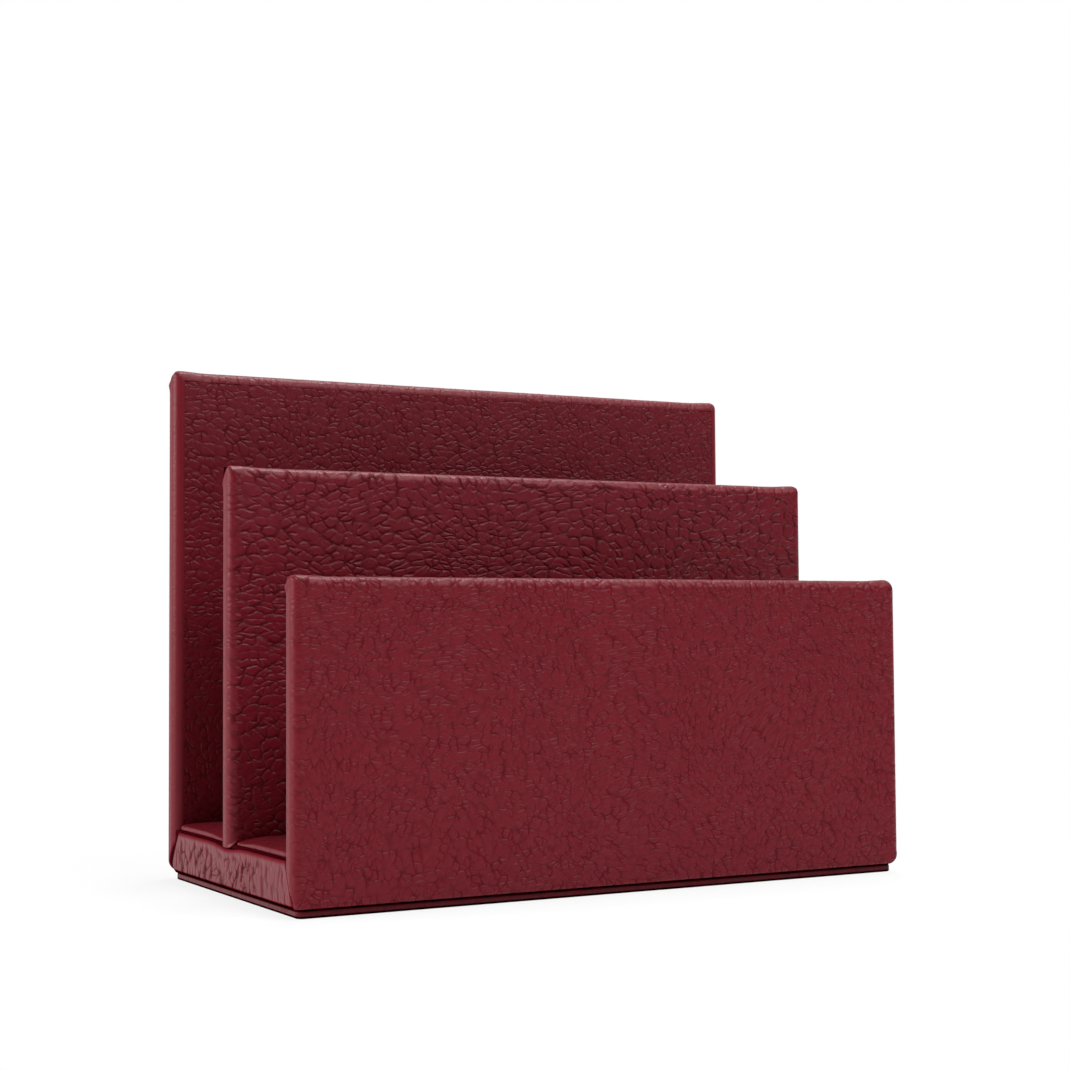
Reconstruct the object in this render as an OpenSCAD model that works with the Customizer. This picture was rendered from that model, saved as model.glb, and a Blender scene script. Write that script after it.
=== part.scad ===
// A two-slot letter holder: three upright panels of rising height on one base,
// covered in pebbled leather and standing on a thin sole.
// X runs along the width, Y from the front panel to the back one, Z up from the desk.

/* [Overall] */
// Width of the holder, over the leather
holder_w = 200; // [120:1:320]
// Height of the front panel's top edge above the desk
front_h = 89.5; // [50:0.5:130]
// Height of the divider's top edge above the desk
divider_h = 122; // [60:0.5:180]
// Height of the back panel's top edge above the desk
back_h = 155; // [70:0.5:240]
// Clear depth of the front slot, from leather to leather
front_slot_d = 42.2; // [22:0.1:80]
// Clear depth of the rear slot, from leather to leather
rear_slot_d = 42.2; // [22:0.1:80]

/* [Leather] */
// Thickness of the leather
leather_t = 1.1; // [0.8:0.1:1.6]
// Thickness that a cover is pared to where it runs under a lining
pared_t = 0.5; // [0.2:0.1:0.6]
// How far a cover's pared border reaches in from the panel's edge
turn_in_w = 14; // [8:0.5:25]
// Distance from a panel's edge to the edge of its lining
lining_inset = 3.1; // [1.6:0.1:5]
// Gap between two pieces of leather that meet edge to edge
seam_gap = 0.15; // [0.05:0.05:0.3]

/* [Panels] */
// Thickness of a panel's board
board_t = 4; // [3:0.5:8]
// Width of the bevel along a board's top edge and ends, under the round leather
board_bevel = 1.2; // [0.5:0.1:1.4]
// Radius of a panel's corners over the leather, seen from the front
corner_r = 3; // [2:0.5:10]
// Radius of the leather round a panel's top edge and ends
edge_r = 3; // [1:0.1:3.5]
// Radius of the leather round an outer panel's lower edge
foot_r = 1.2; // [0.4:0.1:2]
// Radius of the leather round the divider's lower edge
divider_foot_r = 2.2; // [1:0.1:2.2]

/* [Base] */
// Thickness of the base board
base_t = 12.6; // [10:0.1:20]
// Depth to which the divider's leather sinks into the base
divider_sink = 1.2; // [0.5:0.1:2.5]
// Length of the divider board's tongue below its leather
tongue_h = 5; // [2:0.5:5]
// Clearance of the divider in its groove, on each side
groove_gap = 0.1; // [0.05:0.05:0.3]

/* [End strips] */
// How far the rear end of an end strip laps onto the back panel's end
strip_lap = 1.7; // [0.5:0.1:3]
// Radius of an end strip's upper rear corner
strip_heel_r = 8; // [4:0.5:10]
// Radius of an end strip's lower rear corner
strip_foot_r = 3; // [1:0.5:4]
// How far the slanted front end of an end strip reaches across the front panel's end
strip_slant = 4; // [1:0.1:4]

/* [Floor pads] */
// Thickness of the stiffener in a floor pad
floor_board_t = 1; // [0.5:0.1:2]
// Gap between a floor pad and the leather on each side of it
pad_gap = 0.3; // [0.1:0.1:1]
// Distance from a floor pad's ends to the ends of the holder
pad_inset = 1.4; // [0.5:0.1:5]
// Radius of a floor pad's corners, seen from above
pad_corner_r = 3; // [2:0.5:7]
// Radius of the leather round a floor pad's top edge
pad_edge_r = 1.2; // [0.4:0.1:1.2]

/* [Sole] */
// Thickness of the sole's board
sole_board_t = 1.4; // [1.2:0.1:4]
// Distance that the sole is set in from the panels
sole_inset = 2; // [1:0.5:8]
// Radius of the sole's corners, seen from below
sole_corner_r = 2; // [2:0.5:10]
// Radius of the leather round the sole's lower edge
sole_edge_r = 1.2; // [0.4:0.1:1.5]
// Radius of the leather round the sole's upper edge
sole_lip_r = 0.9; // [0.2:0.1:1.2]

/* [Screws] */
// Number of screws through each outer panel's board
screw_count = 4; // [2:1:6]
// Distance from the end of the holder to the nearest screw
screw_margin = 25; // [15:1:40]
// Length of a screw, with its head
screw_len = 16; // [12:1:20]
// Diameter of a screw's shank
screw_d = 2.9; // [2.2:0.1:3.5]
// Length of a screw's point
screw_point = 3; // [1:0.5:4]
// Diameter of a screw's head
screw_head_d = 5.6; // [4.5:0.1:7]
// Depth of a screw's countersunk head
screw_head_h = 1.7; // [1.2:0.1:2.4]
// Clearance round a screw's shank in a panel's board
screw_gap = 0.15; // [0.05:0.05:0.3]
// Width of each arm of the cross recess in a screw's head
recess_w = 0.7; // [0.5:0.1:1]
// Length of each bar of the cross recess
recess_len = 3; // [2:0.1:3.5]
// Depth of the cross recess
recess_h = 1; // [0.5:0.1:1.1]

/* [Hidden] */
$fn = 64;

leather_colour = "#6d1d2a";
lining_colour = "#5c1622";
wood_colour = "#b08a5f";
card_colour = "#8d8a84";
steel_colour = "#b9bcc0";

// How far a cutting solid runs past the face that it opens
past = 1;
// Diameter at the tip of a screw's point
screw_tip_d = 0.4;
// Width of the flat that stays beside the roundings of a narrow edge
edge_flat = 0.2;

end_x = holder_w / 2;
board_x = end_x - leather_t;

panel_t = board_t + 2 * leather_t;
holder_d = 3 * panel_t + front_slot_d + rear_slot_d;
front_y = -holder_d / 2;
front_in_y = front_y + panel_t;
divider_front_y = front_in_y + front_slot_d;
divider_back_y = divider_front_y + panel_t;
back_in_y = divider_back_y + rear_slot_d;
back_y = holder_d / 2;
// The base board fills the space between the outer panels' boards
base_front_y = front_in_y - leather_t;
base_back_y = back_in_y + leather_t;

sole_h = sole_board_t + leather_t;
base_top = sole_h + base_t;
floor_z = base_top + floor_board_t + leather_t;
divider_foot = base_top - divider_sink;
tongue_foot = divider_foot - tongue_h;
screw_z = sole_h + base_t / 2;

panel_edge_r = min(edge_r, (panel_t - edge_flat) / 2);
lip_r = min(sole_lip_r, leather_t - edge_flat, sole_h - sole_edge_r - edge_flat);
board_corner_r = corner_r - leather_t;
lining_corner_r = max(corner_r - lining_inset, leather_t / 2);
heel_r = min(strip_heel_r, base_t - strip_foot_r);
heel_y = back_in_y + strip_lap;

// A rectangle with one bevel at its lower corners and one at its upper corners, 0 for square ones
module bevelled_rect(left, low, right, high, low_cut, high_cut) {
    polygon([
        [left + low_cut, low], [right - low_cut, low],
        [right, low + low_cut], [right, high - high_cut],
        [right - high_cut, high], [left + high_cut, high],
        [left, high - high_cut], [left, low + low_cut]
    ]);
}

// The same rectangle with its corners filled out to round ones
module rounded_rect(left, low, right, high, low_r, high_r) {
    bevelled_rect(left, low, right, high, low_r, high_r);
    if (low_r > 0)
        for (x = [left + low_r, right - low_r])
            translate([x, low + low_r])
                circle(r = low_r);
    if (high_r > 0)
        for (x = [left + high_r, right - high_r])
            translate([x, high - high_r])
                circle(r = high_r);
}

// Gives an outline drawn in X and Z its thickness, from y0 to y1
module seen_from_front(y0, y1) {
    translate([0, y1, 0])
        rotate([90, 0, 0])
            linear_extrude(y1 - y0)
                children();
}

// Gives an outline drawn in Y and Z its length, from x0 to x1
module seen_from_end(x0, x1) {
    translate([x0, 0, 0])
        rotate([90, 0, 90])
            linear_extrude(x1 - x0)
                children();
}

// Gives an outline drawn in X and Y its height, from z0 to z1
module seen_from_above(z0, z1) {
    translate([0, 0, z0])
        linear_extrude(z1 - z0)
            children();
}

// Puts a panel, drawn with its covered face at y = 0 and its lined face at y = panel_t, in its place
module at_front() {
    translate([0, front_y, 0])
        children();
}

module at_divider() {
    translate([0, divider_front_y, 0])
        children();
}

module at_back() {
    translate([0, back_y, 0])
        mirror([0, 1, 0])
            children();
}

// Draws its children, which lie at the right end, at both ends
module both_ends() {
    children();
    mirror([1, 0, 0])
        children();
}

// The outside of a covered panel: round corners from the front, round edges from the end and above
module panel_form(low, high, low_corner_r, low_edge_r) {
    intersection() {
        seen_from_front(0, panel_t)
            rounded_rect(-end_x, low, end_x, high, low_corner_r, corner_r);
        seen_from_end(-end_x, end_x)
            rounded_rect(0, low, panel_t, high, low_edge_r, panel_edge_r);
        seen_from_above(low, high)
            rounded_rect(-end_x, 0, end_x, panel_t, panel_edge_r, panel_edge_r);
    }
}

// The board inside a panel, with its edges eased so that the leather keeps its thickness round them
module panel_board(low, high, low_corner_r) {
    top = high - leather_t;
    inner_y = leather_t + board_t;
    intersection() {
        seen_from_front(leather_t, inner_y)
            rounded_rect(-board_x, low, board_x, top, low_corner_r, board_corner_r);
        seen_from_end(-board_x, board_x)
            bevelled_rect(leather_t, low, inner_y, top, 0, board_bevel);
        seen_from_above(low, top)
            bevelled_rect(-board_x, leather_t, board_x, inner_y, board_bevel, board_bevel);
    }
}

// The lining of a panel, thinner at its border, where the pared leather of the cover lies under it
module panel_lining(low, high, grow) {
    side_x = end_x - lining_inset + grow;
    full_x = end_x - turn_in_w + grow;
    seen_from_front(panel_t - leather_t + pared_t, panel_t)
        rounded_rect(-side_x, low, side_x, high - lining_inset + grow, 0, lining_corner_r);
    seen_from_front(panel_t - leather_t, panel_t - leather_t + pared_t)
        rounded_rect(-full_x, low, full_x, high - turn_in_w + grow, 0, lining_corner_r);
}

// The leather of an outer panel: the covered form less its board, its lining and the base
module outer_cover(high) {
    difference() {
        panel_form(sole_h, high, corner_r, foot_r);
        panel_board(sole_h + leather_t, high, board_corner_r);
        panel_lining(base_top, high, seam_gap);
        translate([-board_x, leather_t + board_t, 0])
            cube([2 * board_x, panel_t, base_top]);
    }
}

// A countersunk wood screw along Y, with the flat of its head at y = 0
module screw_form(shank_d) {
    rotate([-90, 0, 0]) {
        cylinder(h = screw_head_h, d1 = screw_head_d, d2 = screw_d);
        cylinder(h = screw_len - screw_point, d = shank_d);
        translate([0, 0, screw_len - screw_point])
            cylinder(h = screw_point, d1 = shank_d, d2 = screw_tip_d);
    }
}

module screw() {
    difference() {
        screw_form(screw_d);
        for (turn = [0, 90])
            rotate([0, turn, 0])
                translate([-recess_len / 2, -past, -recess_w / 2])
                    cube([recess_len, recess_h + past, recess_w]);
    }
}

// Puts its children at each screw of an outer panel, on the outer face of that panel's board
module at_screws() {
    step = (holder_w - 2 * screw_margin) / (screw_count - 1);
    for (i = [0 : screw_count - 1])
        translate([-end_x + screw_margin + i * step, leather_t, screw_z])
            children();
}

// An end strip seen from the end: slanted at the front, rounded at the rear
module strip_outline(grow) {
    polygon([
        [front_in_y - strip_slant - grow, sole_h],
        [heel_y - strip_foot_r, sole_h - grow],
        [heel_y + grow, sole_h + strip_foot_r],
        [heel_y + grow, base_top - heel_r],
        [heel_y - heel_r, base_top + grow],
        [front_in_y - grow, base_top]
    ]);
    translate([heel_y - strip_foot_r, sole_h + strip_foot_r])
        circle(r = strip_foot_r + grow);
    translate([heel_y - heel_r, base_top - heel_r])
        circle(r = heel_r + grow);
}

// The space that the strips take out of a cover's ends
module strip_space() {
    both_ends()
        seen_from_end(board_x, end_x + past)
            strip_outline(seam_gap);
}

// The right end strip: its ends follow the round corners of the panels that they lap onto
module end_strip() {
    intersection() {
        difference() {
            seen_from_end(board_x, end_x)
                strip_outline(0);
            seen_from_end(board_x - past, end_x + past)
                rounded_rect(divider_front_y - seam_gap, divider_foot - seam_gap,
                    divider_back_y + seam_gap, base_top + past, divider_foot_r, 0);
        }
        union() {
            translate([0, base_front_y, sole_h])
                cube([end_x, base_back_y - base_front_y, base_t]);
            seen_from_front(front_y, back_y)
                rounded_rect(-end_x, sole_h, end_x, base_top + corner_r, corner_r, 0);
        }
    }
}

// The outside of a floor pad that fills a slot from y0 to y1
module pad_form(y0, y1) {
    pad_x = end_x - pad_inset;
    intersection() {
        seen_from_above(base_top, floor_z)
            rounded_rect(-pad_x, y0 + pad_gap, pad_x, y1 - pad_gap, pad_corner_r, pad_corner_r);
        seen_from_end(-pad_x, pad_x)
            rounded_rect(y0 + pad_gap, base_top, y1 - pad_gap, floor_z, 0, pad_edge_r);
        seen_from_front(y0, y1)
            rounded_rect(-pad_x, base_top, pad_x, floor_z, 0, pad_edge_r);
    }
}

// The stiffener of the same pad
module pad_board(y0, y1) {
    pad_x = end_x - pad_inset - leather_t;
    edge = pad_gap + leather_t;
    seen_from_above(base_top, base_top + floor_board_t)
        rounded_rect(-pad_x, y0 + edge, pad_x, y1 - edge,
            pad_corner_r - leather_t, pad_corner_r - leather_t);
}

module sole_form() {
    sole_x = end_x - sole_inset;
    sole_y = back_y - sole_inset;
    intersection() {
        seen_from_above(0, sole_h)
            rounded_rect(-sole_x, -sole_y, sole_x, sole_y, sole_corner_r, sole_corner_r);
        seen_from_end(-sole_x, sole_x)
            rounded_rect(-sole_y, 0, sole_y, sole_h, sole_edge_r, lip_r);
        seen_from_front(-sole_y, sole_y)
            rounded_rect(-sole_x, 0, sole_x, sole_h, sole_edge_r, lip_r);
    }
}

module sole_core() {
    core_x = end_x - sole_inset - leather_t;
    core_y = back_y - sole_inset - leather_t;
    core_r = sole_corner_r - leather_t;
    seen_from_above(leather_t, sole_h)
        rounded_rect(-core_x, -core_y, core_x, core_y, core_r, core_r);
}

// An outer panel's board, drilled and countersunk for its screws
module drilled_board(high) {
    difference() {
        panel_board(sole_h + leather_t, high, board_corner_r);
        at_screws()
            screw_form(screw_d + 2 * screw_gap);
    }
}

module front_board() {
    color(wood_colour)
        at_front()
            drilled_board(front_h);
}

module back_board() {
    color(wood_colour)
        at_back()
            drilled_board(back_h);
}

// The divider's board, with the tongue that goes down into the base
module divider_board() {
    color(wood_colour)
        at_divider()
            panel_board(tongue_foot, divider_h, 0);
}

// The base board: a wide groove for the divider's leather, a deep one for its tongue, screw holes
module base_board() {
    color(wood_colour)
        difference() {
            translate([-board_x, base_front_y, sole_h])
                cube([2 * board_x, base_back_y - base_front_y, base_t]);
            translate([-end_x, divider_front_y - groove_gap, divider_foot])
                cube([holder_w, panel_t + 2 * groove_gap, base_t]);
            translate([-end_x, divider_front_y + leather_t - groove_gap, tongue_foot])
                cube([holder_w, board_t + 2 * groove_gap, base_t]);
            at_front()
                at_screws()
                    screw_form(screw_d);
            at_back()
                at_screws()
                    screw_form(screw_d);
        }
}

module front_screws() {
    color(steel_colour)
        at_front()
            at_screws()
                screw();
}

module back_screws() {
    color(steel_colour)
        at_back()
            at_screws()
                screw();
}

module front_cover() {
    color(leather_colour)
        difference() {
            at_front()
                outer_cover(front_h);
            strip_space();
        }
}

module front_lining() {
    color(lining_colour)
        at_front()
            panel_lining(base_top, front_h, 0);
}

// The divider's cover is open at its foot, where the board goes on down as the tongue
module divider_cover() {
    color(leather_colour)
        at_divider()
            difference() {
                panel_form(divider_foot, divider_h, 0, divider_foot_r);
                panel_board(tongue_foot, divider_h, 0);
                panel_lining(divider_foot - past, divider_h, seam_gap);
            }
}

module divider_lining() {
    color(lining_colour)
        at_divider()
            intersection() {
                panel_lining(divider_foot, divider_h, 0);
                panel_form(divider_foot, divider_h, 0, divider_foot_r);
            }
}

// The back cover has a small ear at each end that fills the base's end above the strip's round heel
module back_cover() {
    color(leather_colour)
        difference() {
            union() {
                at_back()
                    outer_cover(back_h);
                both_ends()
                    translate([board_x, heel_y - heel_r, base_top - heel_r])
                        cube([leather_t, base_back_y - heel_y + heel_r, heel_r]);
            }
            strip_space();
        }
}

module back_lining() {
    color(lining_colour)
        at_back()
            panel_lining(base_top, back_h, 0);
}

module right_end_strip() {
    color(leather_colour)
        end_strip();
}

module left_end_strip() {
    color(leather_colour)
        mirror([1, 0, 0])
            end_strip();
}

module front_floor_board() {
    color(card_colour)
        pad_board(front_in_y, divider_front_y);
}

module front_floor_cover() {
    color(leather_colour)
        difference() {
            pad_form(front_in_y, divider_front_y);
            pad_board(front_in_y, divider_front_y);
        }
}

module rear_floor_board() {
    color(card_colour)
        pad_board(divider_back_y, back_in_y);
}

module rear_floor_cover() {
    color(leather_colour)
        difference() {
            pad_form(divider_back_y, back_in_y);
            pad_board(divider_back_y, back_in_y);
        }
}

module sole_board() {
    color(card_colour)
        sole_core();
}

module sole_cover() {
    color(leather_colour)
        difference() {
            sole_form();
            sole_core();
        }
}

front_board();
divider_board();
back_board();
base_board();
front_screws();
back_screws();
front_cover();
front_lining();
divider_cover();
divider_lining();
back_cover();
back_lining();
left_end_strip();
right_end_strip();
front_floor_board();
front_floor_cover();
rear_floor_board();
rear_floor_cover();
sole_board();
sole_cover();
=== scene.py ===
import math

import bmesh
import bpy
import numpy as np
from mathutils import Matrix, Vector


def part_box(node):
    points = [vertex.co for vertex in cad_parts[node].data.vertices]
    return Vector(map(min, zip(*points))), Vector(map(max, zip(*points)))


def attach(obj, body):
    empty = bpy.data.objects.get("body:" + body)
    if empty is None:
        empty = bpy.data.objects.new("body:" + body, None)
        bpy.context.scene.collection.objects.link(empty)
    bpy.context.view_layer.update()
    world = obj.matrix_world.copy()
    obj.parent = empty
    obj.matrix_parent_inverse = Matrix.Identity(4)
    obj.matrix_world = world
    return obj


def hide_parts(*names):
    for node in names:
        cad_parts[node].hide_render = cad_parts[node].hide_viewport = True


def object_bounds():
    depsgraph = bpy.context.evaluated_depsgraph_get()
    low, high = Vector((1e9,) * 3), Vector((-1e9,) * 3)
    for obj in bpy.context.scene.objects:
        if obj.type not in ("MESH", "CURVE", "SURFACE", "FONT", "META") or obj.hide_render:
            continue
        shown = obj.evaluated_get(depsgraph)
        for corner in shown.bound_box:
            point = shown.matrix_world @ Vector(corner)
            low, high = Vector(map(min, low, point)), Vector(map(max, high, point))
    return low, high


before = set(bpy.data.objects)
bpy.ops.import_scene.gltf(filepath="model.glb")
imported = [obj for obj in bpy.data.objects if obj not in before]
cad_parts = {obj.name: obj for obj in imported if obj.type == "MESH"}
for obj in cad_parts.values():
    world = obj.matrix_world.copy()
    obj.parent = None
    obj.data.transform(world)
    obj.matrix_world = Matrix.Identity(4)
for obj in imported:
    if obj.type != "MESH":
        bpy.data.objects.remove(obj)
cad_low, cad_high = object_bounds()

# Sizes taken from the solids, in metres
front_low, front_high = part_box("front_cover")
divider_low, divider_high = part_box("divider_cover")
back_low, back_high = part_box("back_cover")
lining_low, lining_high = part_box("front_lining")
sole_low, sole_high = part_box("sole_cover")
strip_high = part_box("right_end_strip")[1]
base_low, base_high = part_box("base_board")

MM = 0.001
end_x = front_high.x
panel_t = front_high.y - front_low.y
leather_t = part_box("front_board")[0].y - front_low.y
lining_inset = front_high.z - lining_high.z
base_top = base_high.z
slot_front_y = lining_high.y

# Roundings of the leather, as on the solids
EDGE_R = 3 * MM
FAR_EDGE_R = 1.4 * MM
FOOT_R = 1.2 * MM
DIVIDER_FOOT_R = 2.2 * MM
STRIP_FOOT_R = 3 * MM
PAD_CORNER_R = 3 * MM
PAD_EDGE_R = 1.1 * MM
SOLE_CORNER_R = 2 * MM
SOLE_EDGE_R = 0.5 * MM
SOLE_LIP_R = 0.9 * MM
SEAM_GAP = 0.02 * MM
# Width of the border in which a panel's leather turns over its edges
BORDER_W = 4 * MM


# Shader and geometry nodes written as expressions
class Wire:
    """An output socket of a node tree. Sums and products of wires add Math nodes to that tree."""

    def __init__(self, tree, socket=None):
        self.tree = tree
        self.socket = socket

    def node(self, kind, settings=None, inputs=None, output=0):
        """Adds a node: its settings first, then the values or wires of its sockets."""
        made = self.tree.nodes.new(kind)
        for name, value in (settings or {}).items():
            setattr(made, name, value)
        for key, value in (inputs or {}).items():
            if isinstance(value, Wire):
                self.tree.links.new(value.socket, made.inputs[key])
            else:
                made.inputs[key].default_value = value
        return Wire(self.tree, made.outputs[output] if made.outputs else None)

    def math(self, operation, *values):
        return self.node("ShaderNodeMath", {"operation": operation}, dict(enumerate(values)))

    def vector(self, operation, *others):
        """Vector maths on this vector and others."""
        sockets = dict(enumerate((self, *others)))
        return self.node("ShaderNodeVectorMath", {"operation": operation}, sockets)

    def scaled(self, factor):
        """This vector times a number."""
        return self.node("ShaderNodeVectorMath", {"operation": "SCALE"}, {0: self, 3: factor})

    def length(self):
        return self.node("ShaderNodeVectorMath", {"operation": "LENGTH"}, {0: self}, 1)

    def step(self, low, high, to_low=0.0, to_high=1.0):
        """Rises smoothly from to_low to to_high while this value goes from low to high."""
        limits = {0: self, 1: low, 2: high, 3: to_low, 4: to_high}
        return self.node("ShaderNodeMapRange", {"interpolation_type": "SMOOTHSTEP"}, limits)

    def colours(self, first, second):
        """A colour that goes from first to second while this value goes from 0 to 1."""
        sockets = {0: self, 6: first, 7: second}
        return self.node("ShaderNodeMix", {"data_type": "RGBA"}, sockets, 2)

    def noise(self, size, detail=1.0, output=0, dimensions="2D"):
        """Noise over this place, with features about as large as size."""
        settings = {"noise_dimensions": dimensions}
        return self.node("ShaderNodeTexNoise", settings, {0: self, 2: 1 / size, 3: detail}, output)

    def swayed(self, size, reach):
        """This place moved about by up to half of reach, over stretches about as long as size."""
        sway = self.noise(size, 1.0, 1).vector("SUBTRACT", (0.5, 0.5, 0.5)).scaled(reach)
        return self.vector("ADD", sway)

    def from_crease(self):
        """Distance from the nearest edge between cells one unit wide."""
        settings = {"feature": "DISTANCE_TO_EDGE", "voronoi_dimensions": "2D"}
        return self.node("ShaderNodeTexVoronoi", settings, {0: self, 2: 1.0})

    def from_middle(self):
        """Distance from the nearest middle of the same cells, with soft edges between them."""
        settings = {"feature": "SMOOTH_F1", "voronoi_dimensions": "2D"}
        return self.node("ShaderNodeTexVoronoi", settings, {0: self, 2: 1.0, "Smoothness": 0.3})

    def __add__(self, other):
        return self.math("ADD", self, other)

    def __radd__(self, other):
        return self.math("ADD", other, self)

    def __sub__(self, other):
        return self.math("SUBTRACT", self, other)

    def __rsub__(self, other):
        return self.math("SUBTRACT", other, self)

    def __mul__(self, other):
        return self.math("MULTIPLY", self, other)

    def __rmul__(self, other):
        return self.math("MULTIPLY", other, self)


class Grain:
    """How the leather of one piece is grained.

    A pebble has a width and a height on the flat hide, and so has the run of the fine lines. A crease's half
    width is a share of a pebble. Sway is how far the pebbles are drawn about. The others are heights of
    relief.
    """

    SOCKETS = [("Pebble", "NodeSocketVector"), ("Line", "NodeSocketVector"), ("Shift", "NodeSocketVector"),
               ("Crease width", "NodeSocketFloat"), ("Dome height", "NodeSocketFloat"),
               ("Crease depth", "NodeSocketFloat"), ("Line depth", "NodeSocketFloat"),
               ("Lump height", "NodeSocketFloat"), ("Sway", "NodeSocketFloat")]

    def __init__(self, values):
        self.values = values
        (self.pebble, self.line, self.shift, self.width, self.dome, self.crease, self.line_depth,
         self.lump, self.sway) = (values[name] for name, kind in self.SOCKETS)


def grain(pebble, line=(2.4, 9), width=0.1, dome=0.06, crease=0.08, line_depth=0.02, lump=0.08, sway=21,
          seed=0):
    """A grain with its sizes in millimetres, but for the width of its creases."""
    sizes = [tuple(part * MM for part in pebble) + (1,), tuple(part * MM for part in line) + (1,),
             (3.7 * seed, 7.1 * seed, 0), width, dome * MM, crease * MM, line_depth * MM, lump * MM,
             sway * MM]
    return Grain({name: size for (name, kind), size in zip(Grain.SOCKETS, sizes)})


def leather_relief(place, kind):
    """Hollows between the pebbles, thin creases along them, and fine lines, each from 0 to 1.

    place is a place on the flat hide.
    """
    flowing = place.swayed(48 * MM, kind.sway).swayed(3.2 * MM, 1.5 * MM)
    cell = flowing.vector("DIVIDE", kind.pebble).vector("ADD", kind.shift)
    broken = place.noise(4.2 * MM).step(0.34, 0.6, 0.15, 1.0)
    hollow = cell.from_middle().step(0.36, 0.82) * place.noise(7 * MM).step(0.3, 0.62, 0.7, 1.0)
    crease = (1 - cell.from_crease().step(0.0, kind.width)) * broken
    fold = flowing.vector("DIVIDE", kind.line).vector("ADD", kind.shift).from_crease()
    line = (1 - fold.step(0.0, 0.1)) * place.noise(5 * MM).step(0.45, 0.6)
    return hollow, crease, line


# Leather and the other finishes
BURGUNDY = (0.146, 0.0062, 0.0135)


def new_material(name):
    material = bpy.data.materials.new(name)
    material.use_nodes = True
    material.node_tree.nodes.clear()
    return material, Wire(material.node_tree)


def finish_material(start, surface):
    start.node("ShaderNodeOutputMaterial", None, {"Surface": surface})


def shade(factor):
    return tuple(part * factor for part in BURGUNDY) + (1,)


def leather(name, kind, hollow_tone=0.3, crease_tone=0.3, tint=1.0, roughness=0.38, specular=0.22):
    """Burgundy leather: pebbles with creases between them, pores, and a little unevenness in the dye.

    It shines on the pebbles and is matt in the hollows and creases. Where shade is painted into seams and
    gaps it is dark and matt.
    """
    material, start = new_material(name)
    place = start.node("ShaderNodeAttribute", {"attribute_name": "flat"}, None, 1)
    share = start.node("ShaderNodeAttribute", {"attribute_name": "skin"}, None, 2)
    painted_shade = start.node("ShaderNodeAttribute", {"attribute_name": "painted_shade"}, None, 2)
    hollow, crease, line = leather_relief(place, kind)
    hollow = hollow * share
    cut = crease.math("MAXIMUM", crease, line) * share
    pores = place.noise(0.4 * MM, 2.0)
    dye = place.noise(16 * MM, 2.0).step(0.3, 0.7)
    tone = dye.colours(shade(1.05 * tint), shade(1.09 * tint))
    # Darker in the hollows and creases: darker dye there, and painted shade as well.
    tone = (hollow * hollow_tone).colours(tone, shade(0.45 * tint))
    tone = (cut.step(0.5, 1.0) * crease_tone).colours(tone, shade(0.15 * tint))
    # Painted shade: near black where the mesh marks shade in seams and gaps.
    tone = painted_shade.step(0.5, 1.0).colours(tone, shade(0.05))
    rough = roughness + hollow * 0.1 + (pores - 0.5) * 0.16
    height = hollow * kind.dome + crease * share * kind.crease + line * share * kind.line_depth
    relief = (pores - 0.5) * (0.012 * MM) - height
    bump = start.node("ShaderNodeBump", None, {"Strength": 1.0, "Distance": 1.0, "Height": relief})
    shiny = start.node("ShaderNodeBsdfPrincipled", None, {
        "Base Color": tone, "Roughness": rough, "Normal": bump, "IOR": 1.46, "Specular IOR Level": specular})
    matt = start.node("ShaderNodeBsdfPrincipled", None, {
        "Base Color": tone, "Roughness": 0.9, "Normal": bump, "IOR": 1.46, "Specular IOR Level": 0.0})
    sunk = hollow * 0.15 + cut.step(0.6, 1.0) * 0.6
    # Where shade is painted the leather also loses its shine.
    matt_and_painted_shade = sunk.math("MAXIMUM", sunk, painted_shade.step(0.0, 0.6))
    finish_material(start, start.node("ShaderNodeMixShader", None, {0: matt_and_painted_shade, 1: shiny, 2: matt}))
    return material


def fibreboard(name):
    """Hardboard coloured dark as painted shade, so that nothing pale shows in the seams of the leather."""
    material, start = new_material(name)
    place = start.node("ShaderNodeTexCoord", None, None, 3)
    fibres = place.vector("MULTIPLY", (0.35, 1.0, 1.0)).noise(0.9 * MM, 4.0, 0, "3D")
    flecks = place.noise(3.2 * MM, 3.0, 0, "3D").step(0.55, 0.72)
    tone = fibres.step(0.3, 0.7).colours((0.06, 0.021, 0.013, 1), (0.085, 0.033, 0.02, 1))
    tone = (flecks * 0.5).colours(tone, (0.045, 0.016, 0.01, 1))
    bump = start.node("ShaderNodeBump", None, {"Distance": 1.0, "Height": fibres * (0.05 * MM)})
    finish_material(start, start.node("ShaderNodeBsdfPrincipled", None, {
        "Base Color": tone, "Roughness": 0.78 + (fibres - 0.5) * 0.15, "Normal": bump}))
    return material


def greyboard(name):
    """Grey pulp board with dark specks."""
    material, start = new_material(name)
    place = start.node("ShaderNodeTexCoord", None, None, 3)
    pulp = place.noise(1.1 * MM, 4.0, 0, "3D")
    specks = place.noise(0.5 * MM, 1.0, 0, "3D").step(0.66, 0.75)
    tone = pulp.step(0.3, 0.7).colours((0.19, 0.185, 0.17, 1), (0.27, 0.26, 0.24, 1))
    tone = (specks * 0.6).colours(tone, (0.10, 0.095, 0.085, 1))
    bump = start.node("ShaderNodeBump", None, {"Distance": 1.0, "Height": pulp * (0.03 * MM)})
    finish_material(start, start.node("ShaderNodeBsdfPrincipled", None, {
        "Base Color": tone, "Roughness": 0.85 + (pulp - 0.5) * 0.1, "Normal": bump}))
    return material


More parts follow.
